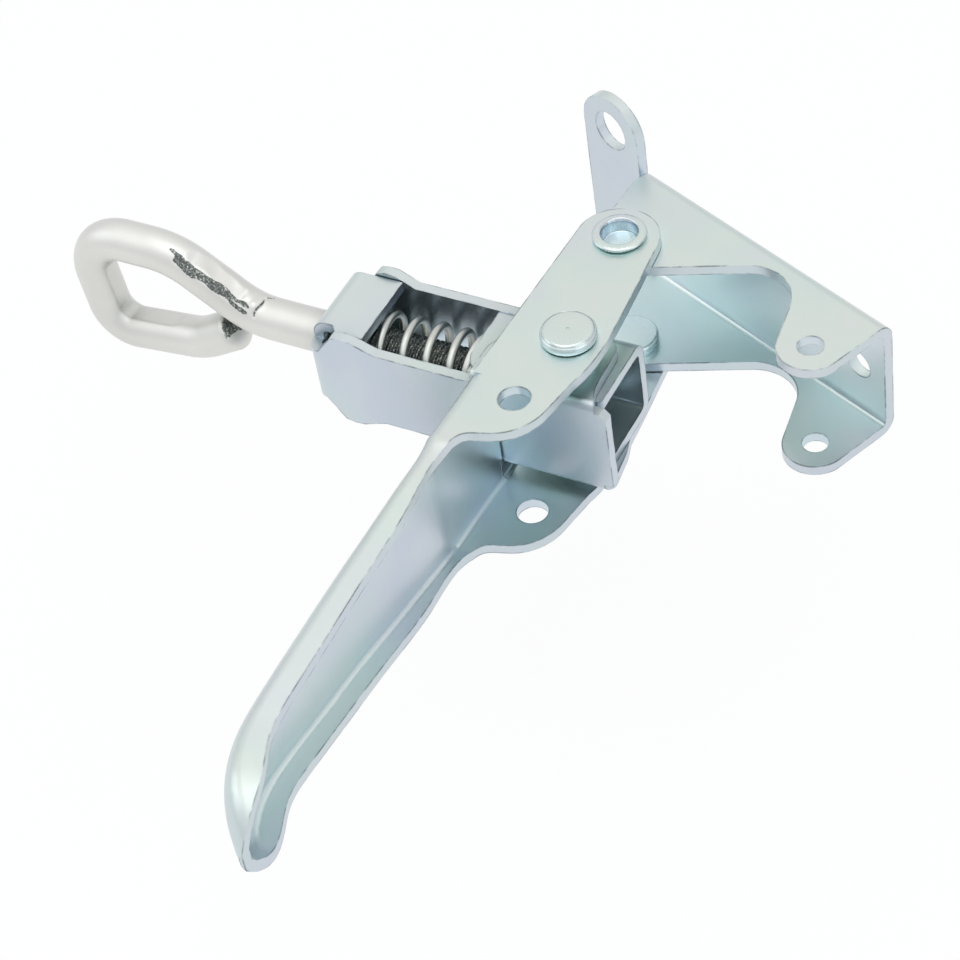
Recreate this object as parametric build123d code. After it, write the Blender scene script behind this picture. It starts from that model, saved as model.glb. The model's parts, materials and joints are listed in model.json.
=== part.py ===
from build123d import *
import os
from math import acos, atan2, cos, degrees, radians, sin, tan

# Sheet and clearances, in millimetres. The row frame has its origin on the panel face in line
# with the handle pivot, X along the bracket, Y into the panel and Z along the pivot pins.
SHEET = 3.0
BEND_OUT = 4.5
BEND_IN = BEND_OUT - SHEET
SIDE_GAP = 0.3
RUNNING = 0.06
FAR = 60.0
SPILL = 1.0

# Layers counted outward from the middle plane of the fastener
HOUSING_HALF = 15.9
CHEEK_IN = HOUSING_HALF + SIDE_GAP
CHEEK_OUT = CHEEK_IN + SHEET
LEVER_IN = CHEEK_OUT + SIDE_GAP
LEVER_OUT = LEVER_IN + SHEET

# Mounting bracket
PANEL_Y = 27.25
WEB_IN_Y = PANEL_Y - SHEET
BRACKET_LEFT = -41.2
BEND_LEFT = -17.0
PIVOT_LOBE_R = 9.0
LOBE_SHOULDER_Y = 20.0
LUG_HOLE = (64.3, 7.04)
LUG_R = 8.9
LUG_HOLE_R = 3.5
BRACKET_RIGHT = LUG_HOLE[0] + LUG_R
RECESS_CENTRE = (38.9, 8.0)
RECESS_R = 12.4
EAR_X = -30.3
EAR_Z = 26.9
EAR_R = 10.9
EAR_HOLE_R = 6.0
WEB_HOLE_X = 63.7
WEB_HOLE_R = 4.1
WEB_CORNER_R = 4.0
RELIEF_R = 1.3
RELIEF_X = BEND_LEFT - RELIEF_R
LOBE_FOOT_ANGLE = 157.5
RECESS_TOP_ANGLE = 80.0
LUG_FOOT_ANGLE = -80.0

# Handle lever, in its own frame: x down the lever, y toward its open side
LEVER_ANGLE = -66.0
LEVER_END_R = 11.0
HOUSING_PIVOT = (39.85, 3.43)
LOCK_HOLE = (64.5, -0.4)
LOCK_HOLE_R = 4.25
WEB_START = 55.3
WEB_START_BACK = -15.9
TAPER_START = 83.0
TAPER_BACK = -16.9
LEVER_TOP = 24.0
LEVER_SECTIONS = [
    (TAPER_START, LEVER_OUT, TAPER_BACK, BEND_OUT),
    (96.0, 20.9, -17.4, BEND_OUT),
    (112.0, 19.5, -18.5, BEND_OUT),
    (130.0, 17.8, -19.8, BEND_OUT),
    (148.0, 16.4, -20.6, BEND_OUT),
    (165.0, 14.9, -21.3, BEND_OUT),
    (177.0, 14.0, -21.1, 5.0),
    (186.0, 13.5, -19.0, 5.6),
    (192.0, 12.4, -16.4, 6.0),
    (197.0, 9.5, -13.2, 6.0),
    (200.4, 6.2, -10.0, 5.0),
    (202.6, 3.5, -7.7, 3.0),
]
LEVER_HOLLOW = [
    (TAPER_START, LEVER_IN, TAPER_BACK + SHEET, BEND_IN),
    (96.0, 17.9, -14.4, BEND_IN),
    (112.0, 16.5, -15.5, BEND_IN),
    (130.0, 14.8, -16.8, BEND_IN),
    (148.0, 13.4, -17.6, BEND_IN),
    (165.0, 11.9, -18.3, BEND_IN),
    (176.0, 11.1, -18.1, 2.0),
    (184.9, 10.5, -16.2, 2.6),
    (191.0, 9.5, -13.6, 3.0),
    (195.4, 6.8, -10.8, 3.0),
    (198.0, 4.4, -8.4, 2.6),
    (199.6, 2.6, -6.8, 1.6),
]
LEVER_EDGE_START = (66.0, 9.0)
LEVER_EDGE = [
    (70.2, 7.6),
    (73.6, 5.3),
    (76.0, 2.6),
    (77.6, -0.6),
    (78.6, -4.0),
    (80.2, -7.6),
    (84.0, -9.6),
    (104.0, -10.4),
    (130.0, -11.2),
    (150.0, -11.8),
    (166.0, -12.3),
    (176.0, -11.6),
    (184.0, -8.8),
    (192.0, -6.8),
    (200.0, -6.5),
    (210.0, -6.4),
]
CHEEK_TOP = (54.3, 11.2)
CHEEK_EDGE = [(44.0, 13.2), (33.0, 13.2), (21.8, 12.6)]
CHEEK_BACK = [(-0.6, -11.9), (59.3, -14.7)]

# Spring housing, in its own frame: x toward the eye, y away from the panel, z along the pivots
HOUSING_ANGLE = 203.15
HOUSING_WALL = 15.0
HOUSING_WALL_IN = HOUSING_WALL - SHEET
HOUSING_START = -16.3
HOUSING_END = 73.0
END_PLATE_IN = HOUSING_END - SHEET
END_PLATE_HALF = 8.6
WALL_HALF = 13.2
ROOT_HALF = 9.0
WINDOW_HALF = 12.7
BULGE_HALF = 15.6
OUTER_WALL = [
    (HOUSING_START, 11.4),
    (-14.6, WALL_HALF),
    (22.0, WALL_HALF),
    (24.6, WINDOW_HALF),
    (51.5, WINDOW_HALF),
    (54.2, 13.6),
    (58.5, BULGE_HALF - 0.3),
    (61.5, BULGE_HALF),
    (64.4, 15.0),
    (65.6, 13.4),
    (67.2, 11.0),
    (69.4, END_PLATE_HALF),
    (HOUSING_END + SPILL, END_PLATE_HALF),
]
OUTER_WALL_LOW = [(HOUSING_START, 12.6), (-15.4, WALL_HALF), *OUTER_WALL[2:]]
INNER_WALL = [
    (-13.0, ROOT_HALF),
    (21.5, ROOT_HALF),
    (22.5, WINDOW_HALF),
    (52.9, WINDOW_HALF),
    (55.5, 14.0),
    (58.7, BULGE_HALF),
    (62.0, BULGE_HALF + 0.2),
    (64.3, 15.2),
    (66.0, 13.2),
    (67.2, 11.0),
    (69.4, END_PLATE_HALF),
    (HOUSING_END + SPILL, END_PLATE_HALF),
]
NEST_GAP = 0.2
EAR_BEND_OUT = 2.4
EAR_BEND_IN = 0.2
EAR_LOW_Y = -9.5
EAR_TIP = [(17.0, EAR_LOW_Y), (22.6, 4.0), (22.6, HOUSING_WALL)]
EAR_UPPER = [(-13.2, HOUSING_WALL), (-10.8, 8.6), (-10.2, EAR_LOW_Y), *EAR_TIP]
EAR_LOWER = [(-13.6, HOUSING_WALL), (-15.4, 12.0), (-14.2, 2.0), (-11.0, EAR_LOW_Y), *EAR_TIP]
EAR_UPPER_CORNERS = [8.0, 5.0, 6.0, 4.0]
EAR_LOWER_CORNERS = [2.0, 12.0, 6.0, 6.0, 4.0]
FLAP_OUT = HOUSING_HALF - SHEET - NEST_GAP
FLAP_IN = FLAP_OUT - SHEET
FLAP_START = -13.0
FLAP_END = 27.3
FLAP_CORNERS = [1.5, 6.0]
FLAP_REACH = HOUSING_WALL_IN - BEND_IN - NEST_GAP
END_FLAP_OUT = 14.4
END_FLAP_IN = END_FLAP_OUT - SHEET
END_FLAP_START = 56.4
END_FLAP_HALF = HOUSING_WALL_IN - SIDE_GAP
END_FLAP_NECK = 9.6
END_FLAP_NECK_X = 66.5
END_FLAP_SLOPE = 2.0
BOLT_HOLE_R = 6.35

# Eye bolt, nut, spring seat and spring, in the housing frame
ROD_R = 6.0
ROD_START = 10.0
EYE_CORNERS = [
    (99.1, 0.0),
    (122.2, 15.6),
    (152.9, 15.6),
    (149.4, -19.2),
    (119.2, -15.7),
    (105.4, -7.3),
]
EYE_BENDS = [22.0, 24.0, 13.5, 8.5, 20.0]
NUT_START = 17.5
NUT_LENGTH = 10.0
NUT_GAP = 0.7
NUT_SIDE = 2 * (FLAP_IN - NUT_GAP)
NUT_CHAMFER = 1.2
SPRING_WIRE_R = 1.2
SPRING_MEAN_R = 9.9
SPRING_PITCH = 7.1
SPRING_TURN = -101.0
SEAT_THICKNESS = 2.2
SEAT_R = SPRING_MEAN_R + SPRING_WIRE_R
SPRING_START = NUT_START + NUT_LENGTH + SEAT_THICKNESS + SIDE_GAP
SPRING_END = END_PLATE_IN - SIDE_GAP

# Rivets
EDGE_BREAK = 0.5
PIVOT_SHANK_R = 6.0
PIVOT_HEAD_R = 7.6
PIVOT_HEAD_THICKNESS = CHEEK_IN - WINDOW_HALF - 0.35
PIVOT_RING_R = 7.45
PIVOT_RING_HEIGHT = 1.6
PIVOT_BORE_R = 4.75
PIVOT_BORE_DEPTH = 4.2
PIVOT_BORE_LIP = 1.2
DRILL_POINT = 0.6
LINK_SHANK_R = 5.0
LINK_SHOULDER_R = 6.6
LINK_HEAD_R = 7.5
LINK_HEAD_HEIGHT = 2.9
LINK_HEAD_CHAMFER = 0.9
LINK_HEAD_CROWN = 0.15
LINK_UPSET_R = 7.0
LINK_UPSET_THICKNESS = 1.4


def polar(radius, angle_deg, centre=(0.0, 0.0)):
    """A point at a radius and an angle about a centre."""
    angle = radians(angle_deg)
    return (centre[0] + radius * cos(angle), centre[1] + radius * sin(angle))


def turned(point, angle_deg):
    """A point turned about the origin."""
    angle = radians(angle_deg)
    return (
        point[0] * cos(angle) - point[1] * sin(angle),
        point[0] * sin(angle) + point[1] * cos(angle),
    )


def crossing_tangent(first, first_r, second, second_r, side):
    """The two touch points of a line that passes between two circles, one on each side of it."""
    across = (second[0] - first[0], second[1] - first[1])
    distance = (across[0] ** 2 + across[1] ** 2) ** 0.5
    normal = degrees(atan2(across[1], across[0])) + side * degrees(acos((first_r + second_r) / distance))
    return polar(first_r, normal, first), polar(second_r, normal + 180.0, second)


def rounded_path(corners, radii):
    """A path of straight stretches whose inner corners have the given radii, 0 for a sharp one."""
    edges = []
    last = Vector(*corners[0])
    for before, corner, after, radius in zip(corners, corners[1:], corners[2:], radii):
        here = Vector(*corner)
        if radius == 0.0:
            edges.append(Line(last, here))
            last = here
            continue
        way_in = (here - Vector(*before)).normalized()
        way_out = (Vector(*after) - here).normalized()
        reach = radius * tan(radians(way_in.get_angle(way_out)) / 2)
        arc_start = here - way_in * reach
        arc_end = here + way_out * reach
        edges.append(Line(last, arc_start))
        edges.append(TangentArc(arc_start, arc_end, tangent=way_in))
        last = arc_end
    edges.append(Line(last, Vector(*corners[-1])))
    return edges


def rounded_face(corners, radii):
    """A flat plate outline: the rounded path through the corners, closed by a straight edge."""
    edges = rounded_path(corners, radii)
    edges.append(Line(Vector(*corners[-1]), Vector(*corners[0])))
    return make_face(edges)


def bar(face, low, high):
    """A flat outline in XY given its depth between two heights."""
    return extrude(Pos(0, 0, low) * face, high - low)


def channel(width, width_in, open_y, web_y, web_in_y, low_x, high_x, bends=(BEND_OUT, BEND_IN)):
    """A folded channel along X: its web at web_y, its two flanges reaching to open_y."""
    bend_out, bend_in = bends
    outer = rounded_face(
        [(-width, open_y), (-width, web_y), (width, web_y), (width, open_y)],
        [bend_out, bend_out],
    )
    inner = rounded_face(
        [(-width_in, open_y), (-width_in, web_in_y), (width_in, web_in_y), (width_in, open_y)],
        [bend_in, bend_in],
    )
    section = outer - inner
    along_x = Plane(origin=(low_x, 0, 0), x_dir=(0, 0, 1), z_dir=(-1, 0, 0))
    return extrude(along_x * section, -(high_x - low_x))


def mirrored(solid):
    """The same solid on the other side of the middle plane."""
    return mirror(solid, Plane.XY)


def rod(centre, radius, low, high):
    """A round bar or cutter along Z."""
    return Pos(centre[0], centre[1], low) * Cylinder(
        radius, high - low, align=(Align.CENTER, Align.CENTER, Align.MIN)
    )


def flat_plate(face, near_y, far_y):
    """An outline drawn as X and Z, given its thickness along Y."""
    lying = Plane(origin=(0, near_y, 0), x_dir=(1, 0, 0), z_dir=(0, -1, 0))
    return extrude(lying * face, -(far_y - near_y))


def to_row(solid):
    """Moves a solid from the pivot's origin to the origin on the panel face."""
    return Pos(0, -PANEL_Y, 0) * solid


def lever_place(solid):
    """Turns a solid of the lever's frame to its place on the open fastener."""
    return to_row(Rot(0, 0, LEVER_ANGLE) * solid)


def housing_place(solid):
    """Turns a solid of the spring housing's frame to its place on the open fastener."""
    centre = turned(HOUSING_PIVOT, LEVER_ANGLE)
    return to_row(Pos(centre[0], centre[1], 0) * Rot(0, 0, HOUSING_ANGLE) * solid)


def make_bracket():
    """The folded bracket: web on the panel, two cheeks with a pivot lobe and a locking lug."""
    lobe_out, recess_in = crossing_tangent((0.0, 0.0), PIVOT_LOBE_R, RECESS_CENTRE, RECESS_R, -1)
    recess_out, lug_in = crossing_tangent(RECESS_CENTRE, RECESS_R, LUG_HOLE, LUG_R, 1)
    shoulder = (BEND_LEFT, LOBE_SHOULDER_Y)
    shoulder_far = (shoulder[0] ** 2 + shoulder[1] ** 2) ** 0.5
    lobe_left_angle = degrees(atan2(shoulder[1], shoulder[0])) + degrees(acos(PIVOT_LOBE_R / shoulder_far))
    lobe_left = polar(PIVOT_LOBE_R, lobe_left_angle)
    lobe_bottom = polar(PIVOT_LOBE_R, lobe_left_angle / 2.0 + LOBE_FOOT_ANGLE)
    recess_top = polar(RECESS_R, RECESS_TOP_ANGLE, RECESS_CENTRE)
    lug_bottom = polar(LUG_R, LUG_FOOT_ANGLE, LUG_HOLE)
    lug_right = (BRACKET_RIGHT, LUG_HOLE[1])
    outline = [
        Line((BEND_LEFT, PANEL_Y), shoulder),
        Line(shoulder, lobe_left),
        ThreePointArc(lobe_left, lobe_bottom, lobe_out),
        Line(lobe_out, recess_in),
        ThreePointArc(recess_in, recess_top, recess_out),
        Line(recess_out, lug_in),
        ThreePointArc(lug_in, lug_bottom, lug_right),
        Line(lug_right, (BRACKET_RIGHT, PANEL_Y)),
        Line((BRACKET_RIGHT, PANEL_Y), (BEND_LEFT, PANEL_Y)),
    ]
    cheeks = bar(make_face(outline), -FAR, FAR)
    folded = channel(CHEEK_OUT, CHEEK_IN, -FAR, PANEL_Y, WEB_IN_Y, BEND_LEFT, BRACKET_RIGHT)
    folded = folded & cheeks
    strip = flat_plate(
        rounded_face(
            [
                (BEND_LEFT + SHEET, CHEEK_OUT - BEND_OUT),
                (BEND_LEFT + SHEET, -CHEEK_OUT + BEND_OUT),
                (BEND_LEFT, -CHEEK_OUT),
                (BRACKET_LEFT, -CHEEK_OUT),
                (BRACKET_LEFT, CHEEK_OUT),
                (BEND_LEFT, CHEEK_OUT - BEND_OUT),
            ],
            [0.0, 0.0, WEB_CORNER_R, 0.0],
        ),
        WEB_IN_Y,
        PANEL_Y,
    )
    ear = flat_plate(
        make_face(
            [
                Line((EAR_X - EAR_R, 0), (EAR_X - EAR_R, EAR_Z)),
                ThreePointArc((EAR_X - EAR_R, EAR_Z), (EAR_X, EAR_Z + EAR_R), (EAR_X + EAR_R, EAR_Z)),
                Line((EAR_X + EAR_R, EAR_Z), (EAR_X + EAR_R, 0)),
                Line((EAR_X + EAR_R, 0), (EAR_X - EAR_R, 0)),
            ]
        ),
        WEB_IN_Y,
        PANEL_Y,
    )
    bracket = folded + strip + ear
    across = Rot(90, 0, 0)
    for x, z, radius in [(EAR_X, EAR_Z, EAR_HOLE_R), (WEB_HOLE_X, 0.0, WEB_HOLE_R)]:
        bracket = bracket - Pos(x, 0, z) * across * Cylinder(radius, 2 * FAR)
    for z in [CHEEK_OUT - BEND_OUT, BEND_OUT - CHEEK_OUT]:
        bracket = bracket - Pos(RELIEF_X, 0, z + RELIEF_R) * across * Cylinder(RELIEF_R, 2 * FAR)
    bracket = bracket - rod((0.0, 0.0), PIVOT_SHANK_R, -FAR, FAR)
    bracket = bracket - rod(LUG_HOLE, LUG_HOLE_R, -FAR, FAR)
    return to_row(bracket)


def lever_section(x, width, back, corner):
    """The outline across the lever at one station, closed at its open side."""
    across = Plane(origin=(x, 0, 0), x_dir=(0, 0, 1), z_dir=(-1, 0, 0))
    return across * rounded_face(
        [(-width, LEVER_TOP), (-width, back), (width, back), (width, LEVER_TOP)],
        [corner, corner],
    )


def make_lever():
    """The folded lever: two flat cheeks run into a tapering channel that ends as a spoon tip."""
    outer_root = loft(
        [lever_section(WEB_START, LEVER_OUT, WEB_START_BACK, BEND_OUT), lever_section(*LEVER_SECTIONS[0])],
        ruled=True,
    )
    outer = outer_root + loft([lever_section(*values) for values in LEVER_SECTIONS])
    hollow_root = loft(
        [
            lever_section(WEB_START - SPILL, LEVER_IN, WEB_START_BACK + SHEET, BEND_IN),
            lever_section(*LEVER_HOLLOW[0]),
        ],
        ruled=True,
    )
    hollow = hollow_root + loft([lever_section(*values) for values in LEVER_HOLLOW])
    edge_end = LEVER_EDGE[-1]
    free_edge = [
        Line((CHEEK_TOP[0], -FAR), CHEEK_TOP),
        Line(CHEEK_TOP, LEVER_EDGE_START),
        Spline(LEVER_EDGE_START, *LEVER_EDGE),
        Line(edge_end, (edge_end[0], -FAR)),
        Line((edge_end[0], -FAR), (CHEEK_TOP[0], -FAR)),
    ]
    shell = (outer & bar(make_face(free_edge), -FAR, FAR)) - hollow
    back_start, back_end = CHEEK_BACK
    share = (back_end[0] - CHEEK_TOP[0]) / (LEVER_EDGE_START[0] - CHEEK_TOP[0])
    top_end = (back_end[0], CHEEK_TOP[1] + share * (LEVER_EDGE_START[1] - CHEEK_TOP[1]))
    cheek = [
        ThreePointArc((0.0, LEVER_END_R), (-LEVER_END_R, 0.0), back_start),
        Line(back_start, back_end),
        Line(back_end, top_end),
        Line(top_end, CHEEK_TOP),
        Spline(CHEEK_TOP, *CHEEK_EDGE, (0.0, LEVER_END_R)),
    ]
    near_cheek = bar(make_face(cheek), LEVER_IN, LEVER_OUT)
    lever = shell + near_cheek + mirrored(near_cheek)
    lever = lever - rod((0.0, 0.0), PIVOT_SHANK_R + RUNNING, -FAR, FAR)
    lever = lever - rod(HOUSING_PIVOT, LINK_SHANK_R + RUNNING, -FAR, FAR)
    lever = lever - rod(LOCK_HOLE, LOCK_HOLE_R, -FAR, FAR)
    return lever_place(lever)


def housing_wall_mask(upper, lower, side):
    """A cutter for one housing wall, from its upper and lower outline in X and Z, on one side of Y."""
    points = upper + [(x, -z) for x, z in reversed(lower)]
    face = make_face(Polyline(*points, close=True))
    if side > 0:
        return flat_plate(face, 0.0, FAR)
    return flat_plate(face, -FAR, 0.0)


def make_housing():
    """The folded spring housing: a strap bent round the end plate, with ears, flaps and windows."""
    strap_outer = rounded_face(
        [
            (HOUSING_START, -HOUSING_WALL),
            (HOUSING_END, -HOUSING_WALL),
            (HOUSING_END, HOUSING_WALL),
            (HOUSING_START, HOUSING_WALL),
        ],
        [BEND_OUT, BEND_OUT],
    )
    strap_inner = rounded_face(
        [
            (HOUSING_START - SPILL, -HOUSING_WALL_IN),
            (END_PLATE_IN, -HOUSING_WALL_IN),
            (END_PLATE_IN, HOUSING_WALL_IN),
            (HOUSING_START - SPILL, HOUSING_WALL_IN),
        ],
        [BEND_IN, BEND_IN],
    )
    strap = bar(strap_outer - strap_inner, -FAR, FAR)
    walls = strap & housing_wall_mask(OUTER_WALL, OUTER_WALL_LOW, 1)
    walls = walls + (strap & housing_wall_mask(INNER_WALL, INNER_WALL, -1))
    ear_channel = channel(
        HOUSING_HALF,
        FLAP_OUT + NEST_GAP,
        -FAR,
        HOUSING_WALL,
        HOUSING_WALL_IN,
        HOUSING_START,
        EAR_TIP[-1][0],
        (EAR_BEND_OUT, EAR_BEND_IN),
    )
    ears = ear_channel & bar(rounded_face(EAR_UPPER, EAR_UPPER_CORNERS), 0.0, FAR)
    ears = ears + (ear_channel & bar(rounded_face(EAR_LOWER, EAR_LOWER_CORNERS), -FAR, 0.0))
    flap_channel = mirror(
        channel(FLAP_OUT, FLAP_IN, -FAR, HOUSING_WALL, HOUSING_WALL_IN, FLAP_START, FLAP_END), Plane.XZ
    )
    flap_outline = rounded_face(
        [
            (FLAP_START, -HOUSING_WALL),
            (FLAP_START, FLAP_REACH),
            (FLAP_END, FLAP_REACH),
            (FLAP_END, -HOUSING_WALL),
        ],
        FLAP_CORNERS,
    )
    flaps = flap_channel & bar(flap_outline, -FAR, FAR)
    end_section = rounded_face(
        [
            (END_FLAP_START, -END_FLAP_OUT),
            (HOUSING_END, -END_FLAP_OUT),
            (HOUSING_END, END_FLAP_OUT),
            (END_FLAP_START, END_FLAP_OUT),
        ],
        [BEND_OUT, BEND_OUT],
    ) - rounded_face(
        [
            (END_FLAP_START - SPILL, -END_FLAP_IN),
            (END_PLATE_IN, -END_FLAP_IN),
            (END_PLATE_IN, END_FLAP_IN),
            (END_FLAP_START - SPILL, END_FLAP_IN),
        ],
        [BEND_IN, BEND_IN],
    )
    end_mask = rounded_face(
        [
            (END_FLAP_START, -END_FLAP_HALF),
            (HOUSING_END + SPILL, -END_FLAP_HALF),
            (HOUSING_END + SPILL, END_FLAP_NECK),
            (END_FLAP_NECK_X, END_FLAP_NECK),
            (END_FLAP_NECK_X - END_FLAP_SLOPE, END_FLAP_HALF),
            (END_FLAP_START, END_FLAP_HALF),
        ],
        [0.0, 0.0, 0.0, 0.0],
    )
    end_flaps = flat_plate(end_section, -FAR, FAR) & bar(end_mask, -FAR, FAR)
    housing = walls + ears + flaps + end_flaps
    housing = housing - rod((0.0, 0.0), LINK_SHANK_R, -FAR, FAR)
    housing = housing - Pos(END_PLATE_IN, 0, 0) * Rot(0, 90, 0) * Cylinder(BOLT_HOLE_R, 4 * SHEET)
    return housing_place(housing)


def make_eye_bolt():
    """The eye bolt: one round rod, bent until its end meets the shank."""
    path = rounded_path([(ROD_START, 0.0), *EYE_CORNERS], EYE_BENDS)
    wire = Rot(90, 0, 0) * Wire(path)
    start = Plane(origin=(ROD_START, 0, 0), x_dir=(0, 1, 0), z_dir=(1, 0, 0))
    bolt = sweep(start * Circle(ROD_R), path=wire)
    return housing_place(bolt)


def make_nut():
    """The square nut that draws the eye bolt back."""
    block = Box(NUT_LENGTH, NUT_SIDE, NUT_SIDE, align=(Align.MIN, Align.CENTER, Align.CENTER))
    block = chamfer(block.edges().filter_by(Axis.X), NUT_CHAMFER)
    nut = Pos(NUT_START, 0, 0) * block
    nut = nut - Pos(NUT_START, 0, 0) * Rot(0, 90, 0) * Cylinder(ROD_R + RUNNING, 4 * NUT_LENGTH)
    return housing_place(nut)


def make_seat():
    """The thick washer between the nut and the spring."""
    ring = Circle(SEAT_R) - Circle(ROD_R + SIDE_GAP)
    disc = extrude(ring, SEAT_THICKNESS)
    disc = chamfer(disc.edges().filter_by(GeomType.CIRCLE).sort_by(SortBy.RADIUS)[-2:], EDGE_BREAK)
    seat = Pos(NUT_START + NUT_LENGTH, 0, 0) * Rot(0, 90, 0) * disc
    return housing_place(seat)


def make_spring():
    """The compression spring round the bolt, a helix of round wire with its ends ground flat."""
    length = SPRING_END - SPRING_START
    coil = Helix(SPRING_PITCH, length + 2 * SPRING_WIRE_R, SPRING_MEAN_R)
    start = Plane(origin=coil @ 0, x_dir=(1, 0, 0), z_dir=coil % 0)
    wire = sweep(start * Circle(SPRING_WIRE_R), path=coil, is_frenet=True)
    wire = Pos(0, 0, -SPRING_WIRE_R) * Rot(0, 0, SPRING_TURN) * wire
    envelope = Cylinder(FAR, length, align=(Align.CENTER, Align.CENTER, Align.MIN))
    spring = Pos(SPRING_START, 0, 0) * Rot(0, 90, 0) * (wire & envelope)
    return housing_place(spring)


def revolved(half_profile):
    """A turned piece about Z from its outline in radius and height."""
    face = make_face(Polyline(*half_profile, close=True))
    return revolve(Rot(90, 0, 0) * face, Axis.Z)


def make_pivot_rivet():
    """The lever's pivot rivet on the near side: flat head inside, rolled ring outside."""
    head_foot = CHEEK_IN - PIVOT_HEAD_THICKNESS
    ring_foot = LEVER_OUT + SIDE_GAP
    ring_top = ring_foot + PIVOT_RING_HEIGHT
    bore_foot = ring_top - PIVOT_BORE_DEPTH
    return revolved(
        [
            (0.0, head_foot),
            (PIVOT_HEAD_R - EDGE_BREAK, head_foot),
            (PIVOT_HEAD_R, head_foot + EDGE_BREAK),
            (PIVOT_HEAD_R, CHEEK_IN),
            (PIVOT_SHANK_R, CHEEK_IN),
            (PIVOT_SHANK_R, ring_foot),
            (PIVOT_RING_R - EDGE_BREAK, ring_foot),
            (PIVOT_RING_R, ring_foot + EDGE_BREAK),
            (PIVOT_RING_R, ring_top - EDGE_BREAK),
            ((PIVOT_RING_R + PIVOT_BORE_R) / 2, ring_top),
            (PIVOT_BORE_R + EDGE_BREAK, ring_top),
            (PIVOT_BORE_R, ring_top - PIVOT_BORE_LIP),
            (PIVOT_BORE_R, bore_foot),
            (0.0, bore_foot - DRILL_POINT),
        ]
    )


def make_link_rivet():
    """The housing's rivet on the near side: upset end inside, shoulder spacer, flat head outside."""
    upset_foot = FLAP_IN - LINK_UPSET_THICKNESS
    head_foot = LEVER_OUT + SIDE_GAP
    head_top = head_foot + LINK_HEAD_HEIGHT
    return revolved(
        [
            (0.0, upset_foot),
            (LINK_UPSET_R - EDGE_BREAK, upset_foot),
            (LINK_UPSET_R, upset_foot + EDGE_BREAK),
            (LINK_UPSET_R, FLAP_IN),
            (LINK_SHANK_R, FLAP_IN),
            (LINK_SHANK_R, HOUSING_HALF),
            (LINK_SHOULDER_R, HOUSING_HALF),
            (LINK_SHOULDER_R, CHEEK_OUT),
            (LINK_SHANK_R, CHEEK_OUT),
            (LINK_SHANK_R, head_foot),
            (LINK_HEAD_R, head_foot),
            (LINK_HEAD_R, head_top - LINK_HEAD_CHAMFER),
            (LINK_HEAD_R - LINK_HEAD_CHAMFER, head_top - LINK_HEAD_CROWN),
            (0.0, head_top),
        ]
    )


if __name__ == "__main__":
    os.makedirs("parts", exist_ok=True)
    pivot_rivet = make_pivot_rivet()
    link_rivet = make_link_rivet()
    parts = {
        "mounting_bracket": make_bracket(),
        "handle_pivot_rivet_upper": to_row(pivot_rivet),
        "handle_pivot_rivet_lower": to_row(mirrored(pivot_rivet)),
        "handle_lever": make_lever(),
        "spring_housing": make_housing(),
        "housing_pivot_rivet_upper": housing_place(link_rivet),
        "housing_pivot_rivet_lower": housing_place(mirrored(link_rivet)),
        "compression_spring": make_spring(),
        "adjusting_nut": make_nut(),
        "spring_seat": make_seat(),
        "eye_bolt": make_eye_bolt(),
    }
    for name, solid in parts.items():
        solid.label = name
        export_step(solid, "parts/" + name + ".step")
        print(name, len(solid.solids()), round(solid.volume, 1))
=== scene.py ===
import json
from collections import namedtuple
from math import cos, pi, radians, sin

import bmesh
import bpy
import numpy as np
from mathutils import Matrix, Vector


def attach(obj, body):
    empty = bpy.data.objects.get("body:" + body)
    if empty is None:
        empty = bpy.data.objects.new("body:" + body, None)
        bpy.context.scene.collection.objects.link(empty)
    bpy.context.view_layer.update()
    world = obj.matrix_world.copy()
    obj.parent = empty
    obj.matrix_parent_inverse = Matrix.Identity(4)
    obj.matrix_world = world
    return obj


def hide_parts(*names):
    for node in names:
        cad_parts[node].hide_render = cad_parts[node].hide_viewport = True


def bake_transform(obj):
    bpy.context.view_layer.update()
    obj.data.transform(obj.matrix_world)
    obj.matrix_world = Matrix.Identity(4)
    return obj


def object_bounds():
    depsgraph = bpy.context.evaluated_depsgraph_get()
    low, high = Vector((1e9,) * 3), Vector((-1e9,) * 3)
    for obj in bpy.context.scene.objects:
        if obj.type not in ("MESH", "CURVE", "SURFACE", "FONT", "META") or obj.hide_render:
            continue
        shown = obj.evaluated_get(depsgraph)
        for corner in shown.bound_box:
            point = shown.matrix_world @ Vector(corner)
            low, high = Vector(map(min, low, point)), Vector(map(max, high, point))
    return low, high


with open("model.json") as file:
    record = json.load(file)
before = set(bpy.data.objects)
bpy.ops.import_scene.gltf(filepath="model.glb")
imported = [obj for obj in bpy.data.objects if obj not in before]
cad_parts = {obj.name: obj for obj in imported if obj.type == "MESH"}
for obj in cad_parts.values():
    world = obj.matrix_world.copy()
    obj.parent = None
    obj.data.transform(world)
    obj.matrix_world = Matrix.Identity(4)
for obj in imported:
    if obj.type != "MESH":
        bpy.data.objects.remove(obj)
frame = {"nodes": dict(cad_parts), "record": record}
CAD_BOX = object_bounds()

bl_info = {
    "name": "Trailer spring hasp",
    "version": (1, 0, 0),
    "blender": (4, 5, 0),
    "location": "View3D > Sidebar > Hasp",
    "description": "Dresses the fastener's sheet, rivets, spring and eye bolt, and sets its stage",
    "category": "Object",
}

MM = 0.001
MERGE_REACH = 0.002 * MM
FLAT_ANGLE = radians(0.8)
CREASE_ANGLE = radians(38.0)
CUT_EDGE_ANGLE = radians(40.0)
RIVET_EDGE_ANGLE = radians(30.0)
WIRE_EDGE_SHARE = 0.5

# Where the housing's and the lever's own frames stand on the open fastener
HOUSING_TURN = radians(203.15)
HOUSING_CENTRE = (19.342 * MM, -62.259 * MM)
LEVER_TURN = radians(-66.0)
LEVER_CENTRE = (0.0, -27.25 * MM)

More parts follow.
